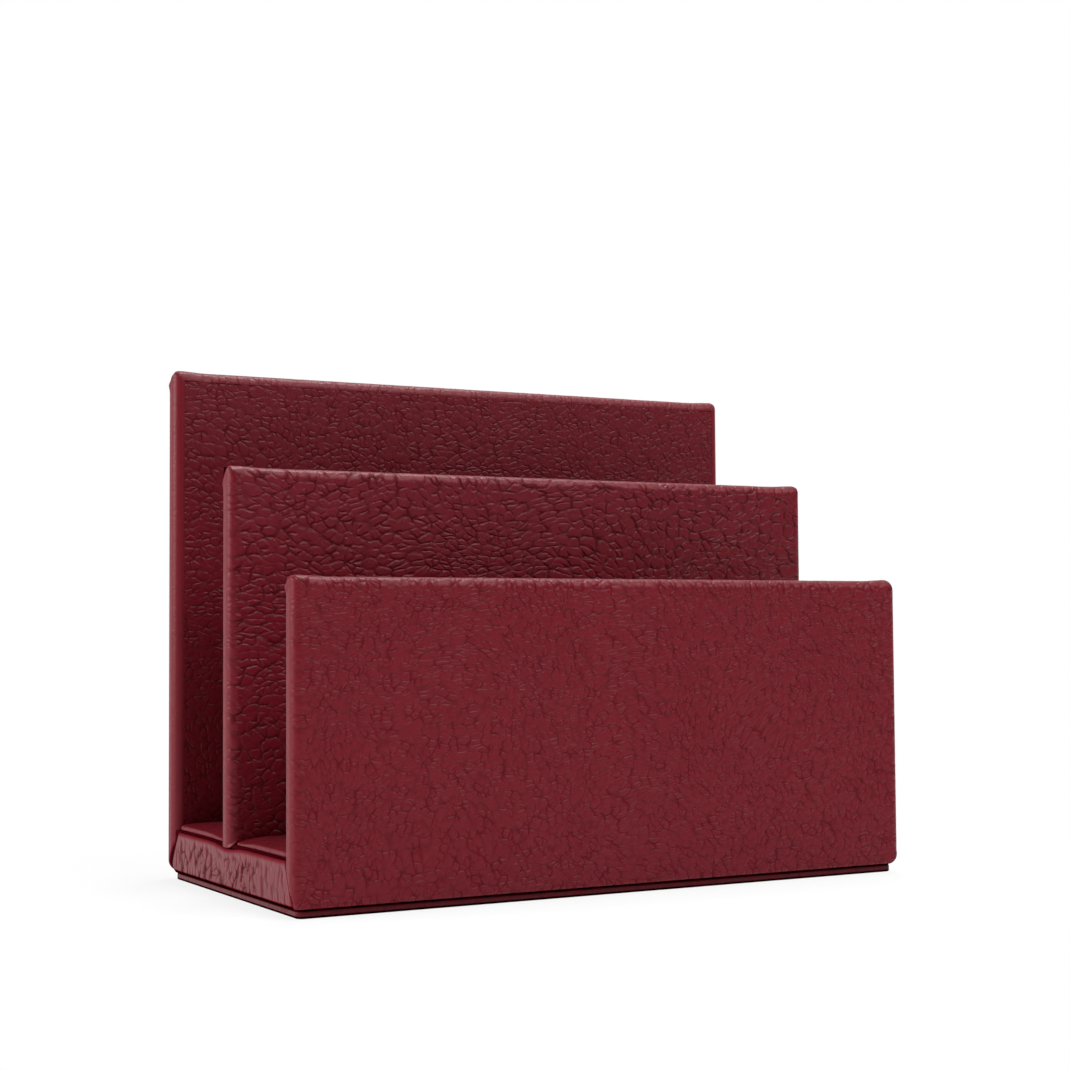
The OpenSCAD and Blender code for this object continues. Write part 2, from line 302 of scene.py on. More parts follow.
def zinc(name):
    """Zinc plating with faint turning marks."""
    material, start = new_material(name)
    place = start.node("ShaderNodeTexCoord", None, None, 3)
    turned = place.vector("MULTIPLY", (1.0, 6.0, 1.0)).noise(0.6 * MM, 3.0, 0, "3D")
    tone = turned.step(0.3, 0.7).colours((0.50, 0.51, 0.54, 1), (0.66, 0.66, 0.66, 1))
    finish_material(start, start.node("ShaderNodeBsdfPrincipled", None, {
        "Base Color": tone, "Metallic": 1.0, "Roughness": 0.32 + (turned - 0.5) * 0.2}))
    return material


# Leather pieces as closed skins
class Skin:
    """Points and faces of one piece of leather.

    Each point has the share of the grain that shows there, its place on the hide before it was wrapped, and
    how much shade is painted on the leather there, deep in a seam or gap.
    """

    def __init__(self):
        self.points = []
        self.amounts = []
        self.painted_shades = []
        self.flats = []
        self.faces = []
        self.count = 0

    def add(self, points, amounts, flats, painted_shades=0):
        """Adds points, an array of rows, and returns their numbers."""
        points = np.asarray(points, float)
        numbers = np.arange(self.count, self.count + len(points))
        self.points.append(points)
        self.amounts.append(np.broadcast_to(np.asarray(amounts, float), (len(points),)))
        self.painted_shades.append(np.broadcast_to(np.asarray(painted_shades, float), (len(points),)))
        self.flats.append(np.column_stack([flats, np.zeros(len(points))]))
        self.count += len(points)
        return numbers

    def band(self, first, second, closed=False):
        """Joins two rows of point numbers with faces."""
        if closed:
            first = np.append(first, first[0])
            second = np.append(second, second[0])
        quads = np.stack([first[:-1], first[1:], second[1:], second[:-1]], axis=1)
        for quad in quads.tolist():
            face = list(dict.fromkeys(quad))
            if len(face) > 2:
                self.faces.append(face)

    def cap(self, ring):
        self.faces.append(list(ring))

    def object(self, name):
        """The closed mesh, with doubles merged and faces turned outwards."""
        mesh = bpy.data.meshes.new(name)
        mesh.from_pydata(np.concatenate(self.points).tolist(), [], self.faces)
        for layer_name, values in (("skin", self.amounts), ("painted_shade", self.painted_shades)):
            layer = mesh.attributes.new(layer_name, "FLOAT", "POINT")
            layer.data.foreach_set("value", np.concatenate(values).astype(np.float32))
        layer = mesh.attributes.new("flat", "FLOAT_VECTOR", "POINT")
        layer.data.foreach_set("vector", np.concatenate(self.flats).astype(np.float32).ravel())
        work = bmesh.new()
        work.from_mesh(mesh)
        bmesh.ops.remove_doubles(work, verts=work.verts, dist=0.002 * MM)
        bmesh.ops.dissolve_degenerate(work, edges=work.edges, dist=0.001 * MM)
        bmesh.ops.recalc_face_normals(work, faces=work.faces)
        work.to_mesh(mesh)
        work.free()
        mesh.polygons.foreach_set("use_smooth", [True] * len(mesh.polygons))
        made = bpy.data.objects.new(name, mesh)
        bpy.context.scene.collection.objects.link(made)
        return made


def spaced(low, high, step):
    return np.linspace(low, high, max(2, round((high - low) / step) + 1))


def smooth(value, low, high):
    t = np.clip((value - low) / (high - low), 0, 1)
    return t * t * (3 - 2 * t)


class Border:
    """The border of a rounded rectangle, as rays from the edge of the grid that fills its middle.

    The grid stops short of the outline by width. The corners' radii are given from the lower right one on,
    anticlockwise.
    """

    ARC_STEPS = 10
    STRAIGHT_STEPS = 3

    def __init__(self, us, vs, width, corner_rs):
        self.width = width
        rows = np.arange(len(us) * len(vs)).reshape(len(vs), len(us))
        sides = [(rows[0], (0, -1)), (rows[:, -1], (1, 0)), (rows[-1][::-1], (0, 1)),
                 (rows[::-1, 0], (-1, 0))]
        arc = [i / self.ARC_STEPS for i in range(self.ARC_STEPS + 1)]
        run = [i / self.STRAIGHT_STEPS for i in range(self.STRAIGHT_STEPS)]
        rays = []
        for i, (numbers, normal) in enumerate(sides):
            for number in numbers[1:-1]:
                rays.append((number, normal, 1, 0, 0, corner_rs[i]))
            last = numbers[-1]
            for t in run:
                rays.append((last, normal, 1, t, 0, corner_rs[i]))
            for t in arc:
                rays.append((last, normal, 1, 1, t, corner_rs[i]))
            for t in run[::-1]:
                rays.append((last, normal, t, 1, 1, corner_rs[i]))
        self.numbers = np.array([ray[0] for ray in rays])
        self.normal = np.array([ray[1] for ray in rays], float)
        self.along = np.stack([-self.normal[:, 1], self.normal[:, 0]], axis=1)
        self.reach = np.array([ray[2:4] for ray in rays], float)
        turn = np.array([ray[4] for ray in rays]) * math.pi / 2
        self.cos = np.cos(turn)
        self.sin = np.sin(turn)
        self.corner_r = np.array([ray[5] for ray in rays])
        self.anchor = np.stack([np.asarray(us)[self.numbers % len(us)],
                                np.asarray(vs)[self.numbers // len(us)]], axis=1)
        self.out = self.normal * self.cos[:, None] + self.along * self.sin[:, None]

    def spread(self, value):
        """One number as a number for each ray."""
        return np.broadcast_to(np.asarray(value, float), self.cos.shape)

    def ring(self, inset):
        """Points of the outline moved in by inset."""
        side = self.width - inset
        radius = np.clip(self.corner_r - inset, 0, side)
        straight = side - radius
        first = straight * self.reach[:, 0] + radius * self.cos
        second = straight * self.reach[:, 1] + radius * self.sin
        return self.anchor + self.normal * first[:, None] + self.along * second[:, None]


# Leather is drawn tight where it bends, so its grain stretches out to this share
BEND_DRAW = 0.45


def wrapped_skin(rect, width, corner_rs, step, profile, place, shape=None, painted_shade=None, fine_rise=0):
    """A piece of leather whose face fills rect = (u0, v0, u1, v1) and whose border follows profile.

    profile(border) gives (inset, depth, grain share, painted shade) from the face outwards and round to the
    back.
    shape moves points given as u, v, depth and outward direction. place maps u, v and depth to the frame.
    The argument after shape gives the shade painted at points, before and after placing. Up to fine_rise the
    rows are twice as close.
    """
    u0, v0, u1, v1 = rect
    us = spaced(u0 + width, u1 - width, step)
    fine_v = v0 + width + fine_rise
    vs = spaced(fine_v, v1 - width, step)
    if fine_rise:
        vs = np.concatenate([spaced(v0 + width, fine_v, step / 2)[:-1], vs])
    border = Border(us, vs, width, corner_rs)
    grid = np.stack([*np.meshgrid(us, vs), np.zeros((len(vs), len(us)))], axis=-1).reshape(-1, 3)
    skin = Skin()
    still = np.zeros((len(grid), 2))
    numbers = skin.add(place(shape(grid, still) if shape else grid), 1, grid[:, :2])
    rows = numbers.reshape(len(vs), len(us))
    for low, high in zip(rows, rows[1:]):
        skin.band(low, high)
    last = border.numbers
    last_inset = border.spread(width)
    last_depth = border.spread(0)
    bent = np.zeros_like(border.cos)
    for inset, depth, amount, dark in profile(border):
        inset = border.spread(inset)
        depth = border.spread(depth)
        outline = border.ring(inset)
        if not depth.any():
            flat_edge = outline
        else:
            bent = bent + np.hypot(inset - last_inset, depth - last_depth)
        points = np.column_stack([outline, depth])
        flats = flat_edge + border.out * bent[:, None] * BEND_DRAW
        placed = place(shape(points, border.out) if shape else points)
        if painted_shade:
            dark = np.maximum(dark, painted_shade(points, border.out, placed))
        ring = skin.add(placed, amount, flats, dark)
        skin.band(last, ring, closed=True)
        last, last_inset, last_depth = ring, inset, depth
    skin.cap(last)
    return skin


def arc_points(count):
    """Sines and cosines over a quarter turn, without its start."""
    turns = [math.pi / 2 * (i + 1) / count for i in range(count)]
    return [(math.sin(turn), math.cos(turn)) for turn in turns]


def cover_profile(face_r, back_r, foot_r, foot_back):
    """A panel's cover: over the edge, down the end and round to the back, then along the board inside it."""

    def profile(border):
        below = np.clip(-border.out[:, 1], 0, 1)
        first_r = face_r + (foot_r - face_r) * below
        second_r = back_r + (foot_r - back_r) * below
        back = panel_t + (foot_back - panel_t) * below
        for share in (0.6, 0.25):
            yield first_r + (border.width - first_r) * share, 0, 1, 0
        yield first_r, 0, 1, 0
        drawn = 0.6 - 0.45 * np.abs(border.out[:, 0])
        # Along the lower edge, from halfway round the foot on to the back, the leather gets painted shade.
        for sin, cos in arc_points(9):
            amount = 1 + (drawn - 1) * smooth(sin, 0.4, 0.95)
            yield first_r * (1 - sin), first_r * (1 - cos), amount, below * smooth(sin, 0.6, 0.95)
        wall = back - first_r - second_r
        for share in (0.2, 0.4, 0.6, 0.8, 1):
            yield 0, first_r + wall * share, drawn, below
        for sin, cos in arc_points(8):
            yield second_r * (1 - cos), back - second_r + second_r * sin, drawn, below
        lip = lining_inset - SEAM_GAP
        yield np.maximum(lip, second_r), back, drawn, below
        yield lip, back - leather_t, 0, 1
        yield leather_t, back - leather_t, 0, 1
        yield leather_t, leather_t, 0, 1

    return profile


def plate_profile(thickness, edge_r, lower_r, hollow, edge_painted_shade, lip_painted_shade):
    """A flat piece with a round edge, a wall and a round lip, hollow inside for its stiffener.

    The last two arguments give how much shade is painted on the edge, and the share of the lip over which
    shade is painted.
    """

    def profile(border):
        for share in (0.66, 0.33):
            yield edge_r + (border.width - edge_r) * share, 0, 1, 0
        yield edge_r, 0, 1, 0
        for sin, cos in arc_points(6):
            yield edge_r * (1 - sin), edge_r * (1 - cos), 1 - 0.2 * sin, edge_painted_shade
        if edge_painted_shade:
            yield 0, edge_r + 0.1 * MM, 0.8, edge_painted_shade
            yield 0, edge_r + 0.3 * MM, 0.8, 0
        yield 0, thickness - lower_r, 0.8, 0
        for sin, cos in arc_points(6):
            yield lower_r * (1 - cos), thickness - lower_r + lower_r * sin, 0.7, smooth(sin, *lip_painted_shade)
        inner = max(leather_t, lower_r + 0.1 * MM)
        yield inner, thickness, 0, 1
        yield inner, hollow, 0, 1

    return profile


class Pleat:
    """The folded corners at a panel's upper ends.

    Across the end of the panel a fold runs from the near edge at the top down to the far edge.
    Behind it the leather lies deeper, with shade painted in that pocket; along it is a crease, and where it
    ends the leather is gathered.
    Next to the corners the top edge stands up a little.
    """

    START = 1.2 * MM
    CREASE = 0.15 * MM
    RISE = 0.4 * MM

    def __init__(self, high, drop, recess, knob, covered_in_front, dark):
        self.high = high
        self.drop = drop
        self.recess = recess
        self.knob = knob
        self.covered_in_front = covered_in_front
        self.dark = dark

    def past_fold(self, points):
        """How far across the panel's end and below its top the points lie, and how far behind the fold."""
        across = points[:, 2] if self.covered_in_front else panel_t - points[:, 2]
        below = self.high - points[:, 1]
        run = panel_t - self.START
        past = (self.drop * (across - self.START) / run - below) * run / math.hypot(run, self.drop)
        return across, below, past

    def painted_shade(self, points, out):
        """Painted shade in the pocket behind the fold."""
        across, below, past = self.past_fold(points)
        on_end = smooth(np.abs(out[:, 0]), 0.35, 0.8)
        on_end = on_end * smooth(across, panel_t - 0.2 * MM, panel_t - 1.2 * MM)
        return self.dark * smooth(past, 0, 0.6 * MM) * on_end

    def __call__(self, points, out):
        across, below, past = self.past_fold(points)
        recess = smooth(past, 0, 0.6 * MM)
        crease = np.exp(-((past + 0.25 * MM) / (0.35 * MM)) ** 2) * smooth(across, 0, self.START)
        knob_across = panel_t - 0.7 * MM
        knob_below = self.drop - 0.3 * MM
        knob = np.exp(-((across - knob_across) ** 2 + (below - knob_below) ** 2) / (2 * (0.8 * MM) ** 2))
        push = self.knob * knob + self.CREASE * crease - self.recess * recess
        weight = smooth(np.abs(out[:, 0]), 0.15, 0.75) * smooth(below, 14 * MM, 9 * MM)
        moved = points.copy()
        moved[:, 0] += np.sign(out[:, 0]) * push * weight
        from_end = end_x - np.abs(points[:, 0])
        moved[:, 1] += self.RISE * smooth(from_end, 11 * MM, 2 * MM) * smooth(below, 6 * MM, 1 * MM)
        return moved


# The end strips, seen from the end: slanted in front, leaning at the rear, with a round foot
STRIP_LEAN = 6 * MM
STRIP_ROLL = 0.8 * MM
GROOVE_DEPTH = 0.25 * MM
KEPT_LEATHER_T = 0.15 * MM
LEAN_POWER = 1.2
strip_rise = base_top - sole_high.z
strip_tip_y = front_low.y + 0.8 * MM
strip_slant = slot_front_y - strip_tip_y
RIGHT_TIP_Y = front_low.y + 4.5 * MM
foot_z = sole_high.z + STRIP_FOOT_R


def strip_outline(y):
    """Lower and upper edge of an end strip at y."""
    slanted = sole_high.z + (y - strip_tip_y) / strip_slant * strip_rise
    lean = np.clip((strip_high.y - y) / STRIP_LEAN, 0, 1) ** (1 / LEAN_POWER)
    leaning = foot_z + lean * (base_top - foot_z)
    high = np.minimum(np.minimum(slanted, leaning), base_top)
    foot_dy = np.clip(y - (strip_high.y - STRIP_FOOT_R), 0, STRIP_FOOT_R)
    low = foot_z - np.sqrt(STRIP_FOOT_R ** 2 - foot_dy ** 2)
    return low, high


def behind_slant(y, z):
    """Distance behind a strip's slanted front edge."""
    across = (y - strip_tip_y) * strip_rise - (z - sole_high.z) * strip_slant
    return across / math.hypot(strip_slant, strip_rise)


def ahead_of_heel(y, z):
    """Distance ahead of a strip's rear edge."""
    above = np.clip((z - foot_z) / (base_top - foot_z), 0, 1)
    below = np.clip(foot_z - z, 0, STRIP_FOOT_R)
    lean = STRIP_LEAN * above ** LEAN_POWER + STRIP_FOOT_R - np.sqrt(STRIP_FOOT_R ** 2 - below ** 2)
    return 0.8 * (strip_high.y - lean - y)


def painted_shade_at_strips(points):
    """Painted shade on a panel's ends along the strips' rear edges."""
    y = points[:, 1]
    z = points[:, 2]
    beside = smooth(ahead_of_heel(y, z), -2.6 * MM, -2.0 * MM) * smooth(base_top - z, -0.5 * MM, 0.2 * MM)
    return 0.85 * beside * smooth(np.abs(points[:, 0]), end_x - EDGE_R, end_x - 0.5 * EDGE_R) * (y > 0)


def sunk_under_strips(points):
    """Presses a panel's ends in where the strips lap onto them, with a groove along the strips' rear edges.

    A little leather is left over the board.
    """
    y = points[:, 1]
    z = points[:, 2]
    ahead = ahead_of_heel(y, z)
    groove = GROOVE_DEPTH * smooth(ahead, -2.6 * MM, -1.8 * MM)
    lapped = (leather_t - GROOVE_DEPTH) * smooth(ahead, -0.6 * MM, -0.1 * MM)
    tip_y = np.where(points[:, 0] > 0, RIGHT_TIP_Y, strip_tip_y)
    depth = (groove + lapped) * smooth(behind_slant(y, z), 0.1 * MM, 0.5 * MM)
    depth = depth * smooth(y, tip_y, tip_y + 0.4 * MM) * smooth(base_top - z, -0.6 * MM, 0.3 * MM)
    reach = np.abs(points[:, 0])
    at_end = smooth(reach, end_x - EDGE_R, end_x - 0.5 * EDGE_R)
    over_board = end_x - leather_t + KEPT_LEATHER_T
    moved = points.copy()
    moved[:, 0] = np.sign(points[:, 0]) * np.maximum(reach - depth * at_end, np.minimum(reach, over_board))
    return moved


def end_strip(side):
    """The leather on an end of the base, with rolled edges, lower under the divider's foot."""
    ys = spaced(strip_tip_y + 0.05 * MM if side < 0 else RIGHT_TIP_Y, strip_high.y, 0.3 * MM)
    low, high = strip_outline(ys)
    sag = 0.1 * MM + (base_top - divider_low.z - 0.2 * MM) * np.exp(-((ys + 1 * MM) / (8 * MM)) ** 2)
    high = high - sag * smooth(behind_slant(ys, high), -2 * MM, 0)
    high = np.maximum(high, low + 0.08 * MM)
    rim = np.array([0.0, 0.01, 0.025, 0.045])
    shares = np.concatenate([rim, np.linspace(0.065, 0.935, 30), 1 - rim[::-1]])
    z = low[:, None] + (high - low)[:, None] * shares
    y = np.broadcast_to(ys[:, None], z.shape)
    to_edge = np.minimum(0.58 * (z - low[:, None]), high[:, None] - z)
    to_slant = behind_slant(y, z) * 2
    inside = np.clip(np.minimum.reduce([to_edge, to_slant, ahead_of_heel(y, z)]), 0, STRIP_ROLL)
    rolled = STRIP_ROLL - np.sqrt(STRIP_ROLL ** 2 - (STRIP_ROLL - inside) ** 2)
    in_round = np.clip(front_low.y + EDGE_R - y, 0, EDGE_R)
    rolled = rolled + EDGE_R - np.sqrt(EDGE_R ** 2 - in_round ** 2)
    from_top = high[:, None] - z
    amount = smooth(from_top, 1 * MM, 3.4 * MM) * smooth(ahead_of_heel(y, z), 1 * MM, 5 * MM)
    towards_rear = 0.45 + 0.55 * smooth(y, -42 * MM, -15 * MM)
    amount = 0.12 + 0.88 * amount * smooth(inside, 0, STRIP_ROLL) * towards_rear
    # Painted shade along the rear edge, the lower edge, the top roll and the top edge.
    dark = np.maximum.reduce([smooth(ahead_of_heel(y, z), 0.7 * MM, 0.2 * MM),
                              smooth(z - low[:, None], 1.3 * MM, 0.9 * MM),
                              0.5 * smooth(from_top, 2.0 * MM, 0.2 * MM), smooth(from_top, 0.35 * MM, 0)])
    skin = Skin()
    numbers = []
    for i in range(len(ys)):
        points = np.column_stack([side * (end_x - rolled[i]), y[i], z[i]])
        numbers.append(skin.add(points, amount[i], points[:, 1:], dark[i]))
    numbers = np.array(numbers)
    for first, second in zip(numbers, numbers[1:]):
        skin.band(first, second)
    rim_numbers = np.concatenate([numbers[:, 0], numbers[-1, 1:], numbers[-2::-1, -1], numbers[0, -2:0:-1]])
    rim_points = np.concatenate(skin.points)[rim_numbers].copy()
    rim_points[:, 0] = side * (base_high.x + BACKING_T)
    # The strip's rim gets full painted shade.
    back = skin.add(rim_points, 0, rim_points[:, 1:], 1)
    skin.band(rim_numbers, back, closed=True)
    skin.cap(back)
    divider_edge = panel_t / 2 + 0.15 * MM
    strip_backing(skin, side, base_low.y + 0.1 * MM, -divider_edge)
    strip_backing(skin, side, divider_edge, base_high.y - 0.1 * MM)
    return skin


# Thin leather under an end strip, and its turn-in on the base's top and underside
BACKING_T = 0.25 * MM
TURN_IN_T = 0.07 * MM
TURN_IN_W = 6 * MM


def strip_backing(skin, side, y0, y1):
    """The pared leather of a strip over the base's end, turned in above and below."""
    board_x = base_high.x
    out_x = board_x + BACKING_T
    low = base_low.z
    loop = np.array([
        (board_x - TURN_IN_W, base_top), (board_x - TURN_IN_W, base_top + TURN_IN_T),
        (board_x, base_top + TURN_IN_T), (out_x, base_top - BACKING_T), (out_x, low + BACKING_T),
        (board_x, low - TURN_IN_T), (board_x - TURN_IN_W, low - TURN_IN_T), (board_x - TURN_IN_W, low),
        (board_x, low), (board_x, base_top)])
    rings = []
    for y in (y0, y1):
        points = np.column_stack([side * loop[:, 0], np.full(len(loop), y), loop[:, 1]])
        # The backing gets painted shade, dark in the recess behind the strip.
        rings.append(skin.add(points, 0.3, points[:, 1:], 0.8))
    skin.band(*rings, closed=True)
    for ring in rings:
        skin.cap(ring)


# The panels' covers and linings, the floor pads and the sole
def panel_place(covered_y, direction, laps=False):
    """Maps a panel's u, v and depth to the frame, from its covered face at y = covered_y."""

    def place(points):
        placed = np.column_stack([points[:, 0], covered_y + direction * points[:, 2], points[:, 1]])
        return sunk_under_strips(placed) if laps else placed

    return place


def level_place(top, direction):
    """Maps a level piece's u, v and depth to the frame, from its face at z = top."""

    def place(points):
        return np.column_stack([points[:, 0], points[:, 1], top + direction * points[:, 2]])

    return place


def lining_profile(border):
    """A panel's lining: a cut sheet with its edges a little rounded."""
    soft_r = 0.08 * MM
    for share in (0.66, 0.33):
        yield soft_r + (border.width - soft_r) * share, 0, 1, 0
    yield soft_r, 0, 1, 0
    for sin, cos in arc_points(4):
        yield soft_r * (1 - sin), soft_r * (1 - cos), 0.8, 0
    yield 0, leather_t, 0, 1


def panel_cover(low, high, covered_y, direction, corner_rs, foot, pleat, step, laps):
    """A panel's cover. foot is its lower edge's radius and the depth to which the leather turns under."""
    rect = (-end_x, low, end_x, high)
    place = panel_place(covered_y, direction, laps)
    edge_rs = (EDGE_R, FAR_EDGE_R) if direction > 0 else (FAR_EDGE_R, EDGE_R)
    profile = cover_profile(*edge_rs, *foot)

    # Painted shade behind the pleats' folds and along the strips' rear edges.
    def painted_shade(points, out, placed):
        return np.maximum(pleat.painted_shade(points, out), painted_shade_at_strips(placed) if laps else 0)

    return wrapped_skin(rect, BORDER_W, corner_rs, step, profile, place, pleat, painted_shade, 12 * MM if laps else 0)


def panel_lining(node, direction, step):
    low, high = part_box(node)
    rect = (low.x, low.z, high.x, high.z)
    face_y = high.y if direction < 0 else low.y
    corner_rs = (0, 0.5 * MM, 0.5 * MM, 0)
    return wrapped_skin(rect, 2 * MM, corner_rs, step, lining_profile, panel_place(face_y, direction))


def floor_pad(node, divider_side):
    """A floor pad, whose ends droop a little, most of all beside the divider."""
    low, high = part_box(node)
    rect = (low.x, low.y, high.x, high.y)
    beside = high.y if divider_side > 0 else low.y
    thickness = high.z - low.z
    place = level_place(high.z, -1)

    def drooped(points, out):
        from_end = high.x - np.abs(points[:, 0])
        from_divider = np.abs(points[:, 1] - beside)
        droop = 0.35 * MM * smooth(from_end, 7 * MM, 0)
        droop = droop + 0.7 * MM * smooth(from_end, 9 * MM, 0) * smooth(from_divider, 18 * MM, 2 * MM)
        moved = points.copy()
        moved[:, 2] += droop * (1 - points[:, 2] / thickness)
        return moved

    # The lower part of the pads' lip gets painted shade.
    profile = plate_profile(thickness, PAD_EDGE_R, thickness - PAD_EDGE_R, leather_t, 0, (0.45, 0.95))
    return wrapped_skin(rect, PAD_CORNER_R, (PAD_CORNER_R,) * 4, 0.9 * MM, profile, place, drooped)


def sole():
    rect = (sole_low.x, sole_low.y, sole_high.x, sole_high.y)
    # Painted shade on the sole's bottom edge, as contact shadow, and on its top lip under the panels.
    profile = plate_profile(sole_high.z, SOLE_EDGE_R, SOLE_LIP_R, leather_t, 1, (0, 0.6))
    return wrapped_skin(rect, SOLE_CORNER_R, (SOLE_CORNER_R,) * 4, 1.6 * MM, profile, level_place(0, 1))


# Relief of the grain in the mesh itself
def relief_tree():
    """Geometry nodes that raise the pebbles and soft lumps of the leather along its surface."""
    tree = bpy.data.node_groups.new("leather relief", "GeometryNodeTree")
    sockets = [("Geometry", "NodeSocketGeometry"), *Grain.SOCKETS, ("Leather", "NodeSocketMaterial")]
    for name, kind in sockets:
        tree.interface.new_socket(name, in_out="INPUT", socket_type=kind)
    tree.interface.new_socket("Geometry", in_out="OUTPUT", socket_type="NodeSocketGeometry")
    inputs = tree.nodes.new("NodeGroupInput")
    wires = {name: Wire(tree, inputs.outputs[name]) for name, kind in sockets}
    start = Wire(tree)
    place = start.node("GeometryNodeInputNamedAttribute", {"data_type": "FLOAT_VECTOR"}, {"Name": "flat"})
    share = start.node("GeometryNodeInputNamedAttribute", {"data_type": "FLOAT"}, {"Name": "skin"})
    normal = start.node("GeometryNodeInputNormal")
    hollow, crease, line = leather_relief(place, Grain(wires))
    lumps = place.noise(9 * MM, 2.0) - 0.5
    lift = (lumps * wires["Lump height"] - hollow * wires["Dome height"]) * share
    moved = start.node("GeometryNodeSetPosition", None,
                       {"Geometry": wires["Geometry"], "Offset": normal.scaled(lift)})
    real = start.node("GeometryNodeRealizeInstances", None, {"Geometry": moved})
    dressed = start.node("GeometryNodeSetMaterial", None, {"Geometry": real, "Material": wires["Leather"]})
    start.node("NodeGroupOutput", None, {"Geometry": dressed})
    return tree


def dress(skin, name, node, material, kind):
    """Turns a skin into a finished piece that stands for a CAD node."""
    rough = skin.object(name + "_form")
    modifier = rough.modifiers.new("relief", "NODES")
    modifier.node_group = relief
    values = {**kind.values, "Leather": material}
    for item in relief.interface.items_tree:
        if item.in_out == "INPUT" and item.name in values:
            modifier[item.identifier] = values[item.name]
    bpy.context.view_layer.update()
    seen = rough.evaluated_get(bpy.context.evaluated_depsgraph_get())
    mesh = bpy.data.meshes.new_from_object(seen)
    mesh.name = name
    bpy.data.objects.remove(rough)
    piece = bpy.data.objects.new(name, mesh)
    bpy.context.scene.collection.objects.link(piece)
    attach(piece, "root")
    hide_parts(node)


front_grain = grain((2.3, 1.6), (1.3, 4.2), width=0.28, dome=0.09, crease=0.19, line_depth=0.04, sway=18,
                    seed=1)
divider_grain = grain((3.7, 2.1), (2.6, 1.3), width=0.24, dome=0.1, crease=0.25, line_depth=0.03, sway=14,
                      seed=2)
back_grain = grain((2.3, 1.7), (1.3, 4.0), width=0.26, dome=0.08, crease=0.15, line_depth=0.03, sway=14,
                   seed=3)
lining_grain = grain((2.5, 1.9), (1.6, 3.6), width=0.26, dome=0.08, crease=0.15, line_depth=0.03, sway=14,
                     seed=4)
strip_grain = grain((2.6, 4.4), (1.6, 3.2), width=0.24, dome=0.26, crease=0.06, line_depth=0.04, lump=0.1,
                    seed=5)
pad_grain = grain((2.1, 2.1), (1.2, 1.2), dome=0.03, crease=0.02, line_depth=0.01, seed=6)
sole_grain = grain((1.3, 1.8), (0.8, 1.4), dome=0.02, crease=0.03, line_depth=0.02, lump=0.0, seed=7)

relief = relief_tree()
outer_foot = (FOOT_R, panel_t - leather_t)

front_corner_rs = (4.0 * MM, 3.2 * MM, 1.6 * MM, 1.2 * MM)
front_pleat = Pleat(front_high.z, 3.4 * MM, 0.15 * MM, 0.3 * MM, True, 0.3)
front_skin = panel_cover(front_low.z, front_high.z, front_low.y, 1, front_corner_rs, outer_foot, front_pleat,
                         0.55 * MM, True)
dress(front_skin, "front_cover_leather", "front_cover",
      leather("front leather", front_grain, hollow_tone=0.35, crease_tone=0.1, specular=0.2), front_grain)
divider_corner_rs = (0.6 * MM, 2.2 * MM, 1.1 * MM, 0.6 * MM)
divider_pleat = Pleat(divider_high.z, 5.2 * MM, 0.0, 0.1 * MM, True, 0.95)
divider_skin = panel_cover(divider_low.z, divider_high.z, divider_low.y, 1, divider_corner_rs,
                           (DIVIDER_FOOT_R, panel_t), divider_pleat, 0.55 * MM, False)
dress(divider_skin, "divider_cover_leather", "divider_cover",
      leather("divider leather", divider_grain, hollow_tone=0.4, crease_tone=0.4), divider_grain)
back_corner_rs = (3.4 * MM, 2.5 * MM, 2.2 * MM, 3.4 * MM)
back_pleat = Pleat(back_high.z, 4.6 * MM, 0.6 * MM, 0.25 * MM, False, 0.4)
back_skin = panel_cover(back_low.z, back_high.z, back_high.y, -1, back_corner_rs, outer_foot, back_pleat,
                        0.7 * MM, True)
dress(back_skin, "back_cover_leather", "back_cover", leather("back leather", back_grain),
      back_grain)

# The lining leather is a little darker than the covers, partly its own colour and partly painted shade.
lining_leather = leather("lining leather", lining_grain, tint=0.88)
for name, direction in (("front", -1), ("divider", -1), ("back", 1)):
    dress(panel_lining(name + "_lining", direction, 0.75 * MM), name + "_lining_leather", name + "_lining",
          lining_leather, lining_grain)
strip_leather = leather("strip leather", strip_grain, hollow_tone=0.7, crease_tone=0.3, roughness=0.33)
for name, side in (("left", -1), ("right", 1)):
    dress(end_strip(side), name + "_end_strip_leather", name + "_end_strip",
          strip_leather, strip_grain)
pad_leather = leather("floor leather", pad_grain)
for name, divider_side in (("front", 1), ("rear", -1)):
    node = name + "_floor_cover"
    dress(floor_pad(node, divider_side), name + "_floor_leather", node, pad_leather,
          pad_grain)
# The sole's leather is darker all over: painted shade for its place under the panels' overhang.
dress(sole(), "sole_leather", "sole_cover", leather("sole leather", sole_grain, tint=0.75),
      sole_grain)

# The boards, stiffeners and screws inside
board_finish = fibreboard("fibreboard")
card_finish = greyboard("greyboard")
screw_finish = zinc("zinc plating")
inner_finishes = {
    "front_board": board_finish, "divider_board": board_finish, "back_board": board_finish,
    "base_board": board_finish, "front_floor_board": card_finish, "rear_floor_board": card_finish,
    "sole_board": card_finish, "front_screws": screw_finish, "back_screws": screw_finish,
}
for name, finish in inner_finishes.items():
    for material_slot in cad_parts[name].material_slots:
        material_slot.material = finish


# Floor, light and camera
FLOOR_REACH = 6.0
# Keeps the floor's surface clear of the sole's underside
FLOOR_LIFT = 0.02 * MM


def seen_rays(start, *names):
    """1 for the rays of the named kinds, 0 for the others."""
    path = start.tree.nodes.new("ShaderNodeLightPath")
    total = Wire(start.tree, path.outputs[names[0]])
    for name in names[1:]:
        total = total.math("MAXIMUM", total, Wire(start.tree, path.outputs[name]))
    return total


